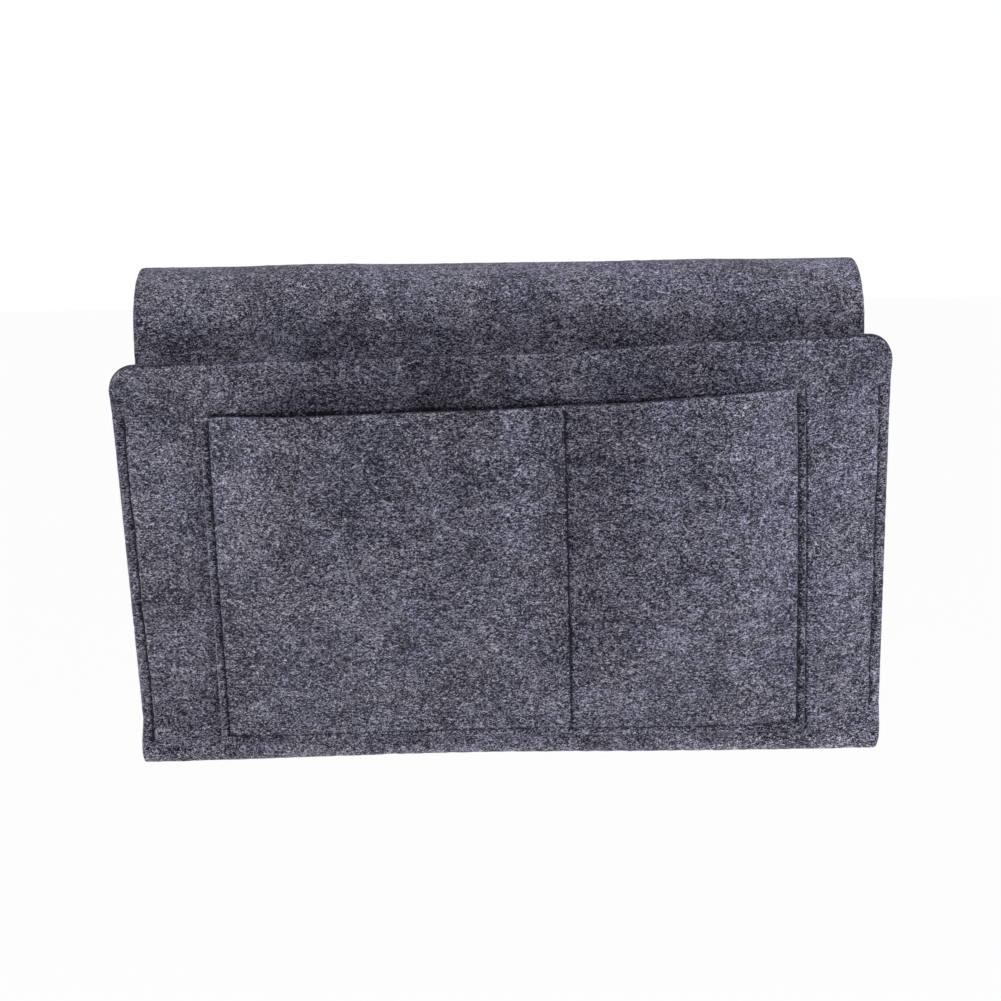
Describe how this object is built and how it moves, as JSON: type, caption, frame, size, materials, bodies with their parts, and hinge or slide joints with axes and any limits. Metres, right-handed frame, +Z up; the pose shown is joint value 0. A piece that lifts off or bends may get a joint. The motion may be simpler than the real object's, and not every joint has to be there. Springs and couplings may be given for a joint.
{
  "type": "felt armrest organizer",
  "caption": "Grey felt organizer draped over an armrest: a wide sewn pouch with an outer and an inner divided pocket, hung from a tongue that bends over the arm and down behind it.",
  "frame": {"origin": "centre of the tongue's flat underside, where it lies on the armrest", "axes": "+Z up, out of the armrest's top; +X along the armrest, to the right as seen from the pouch's front; the pouch's front faces -Y"},
  "size_m": [0.339, 0.2211, 0.217],
  "materials": {
    "felt": "mottled needle-punched felt, matt, with a fine nap",
    "thread": "dull twisted sewing thread"
  },
  "bodies": {
    "tongue": {"tongue": "felt", "outer_roll": "felt", "inner_roll": "felt"},
    "bag": {"back_panel": "felt", "bottom_fold": "felt", "front_panel": "felt", "outer_pocket": "felt", "inner_pocket": "felt", "left_seam_needle_thread": "thread", "left_seam_bobbin_thread": "thread", "right_seam_needle_thread": "thread", "right_seam_bobbin_thread": "thread", "pocket_seam_needle_thread": "thread", "pocket_seam_bobbin_thread": "thread", "pocket_divider_needle_thread": "thread", "pocket_divider_bobbin_thread": "thread", "inner_seam_needle_thread": "thread", "inner_seam_bobbin_thread": "thread", "inner_divider_needle_thread": "thread", "inner_divider_bobbin_thread": "thread"},
    "tail": {"tail": "felt"}
  },
  "joints": [
    {"name": "bag_swing", "type": "hinge", "parent": "tongue", "child": "bag", "pos_m": [0, -0.08081, -0.00419], "axis": [-1, 0, 0], "range_deg": [-45, 90], "deforming": ["outer_roll"]},
    {"name": "tail_fold", "type": "hinge", "parent": "tongue", "child": "tail", "pos_m": [0, 0.08081, -0.00419], "axis": [1, 0, 0], "range_deg": [-30, 90], "deforming": ["inner_roll"]}
  ]
}
